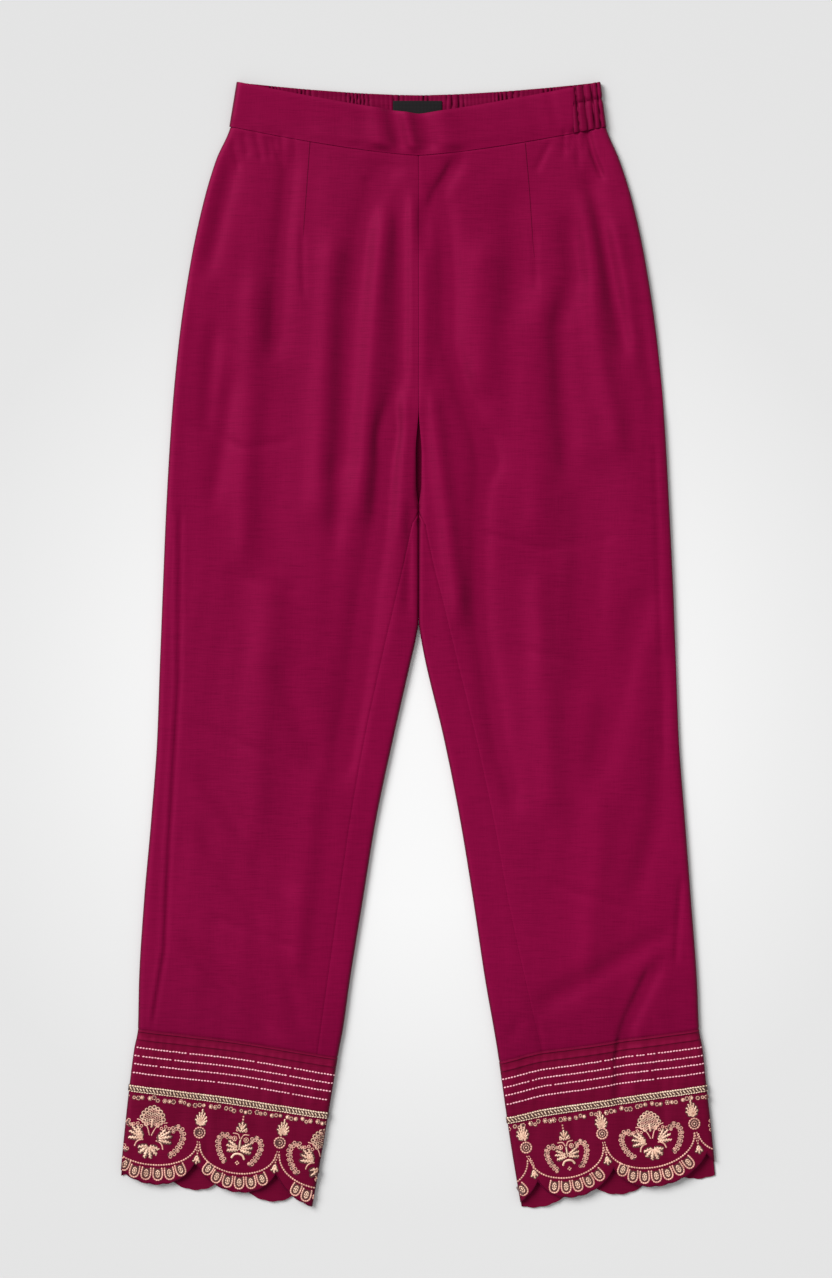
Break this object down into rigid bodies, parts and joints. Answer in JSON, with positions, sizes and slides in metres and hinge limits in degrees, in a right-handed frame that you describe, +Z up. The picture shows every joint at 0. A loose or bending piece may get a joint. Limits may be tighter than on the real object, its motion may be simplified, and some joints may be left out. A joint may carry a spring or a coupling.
{
  "type": "silk trousers, laid flat",
  "caption": "Straight ankle-length silk trousers laid flat, with a part-elastic waistband and scalloped embroidered hem bands.",
  "frame": {"origin": "middle of the outline, on the surface that the trousers lie on", "axes": "+Y runs along the legs to the waist, +X runs across to the wearer's left leg, +Z is up from the surface to the front"},
  "size_m": [0.517, 0.9784, 0.0085],
  "materials": {
    "silk": "slubbed silk with a soft sheen",
    "band_silk": "slubbed silk, faced",
    "hem_silk": "slubbed silk, embroidered",
    "gold_braid": "metallic thread braid",
    "label_weave": "matt woven ribbon"
  },
  "bodies": {
    "root": {"front_right": "silk", "back_right": "silk", "hem_front_right": "hem_silk", "hem_back_right": "hem_silk", "braid_right": "gold_braid", "front_left": "silk", "back_left": "silk", "hem_front_left": "hem_silk", "hem_back_left": "hem_silk", "braid_left": "gold_braid", "waistband_front": "band_silk", "waistband_back": "band_silk", "label": "label_weave"}
  },
  "joints": []
}
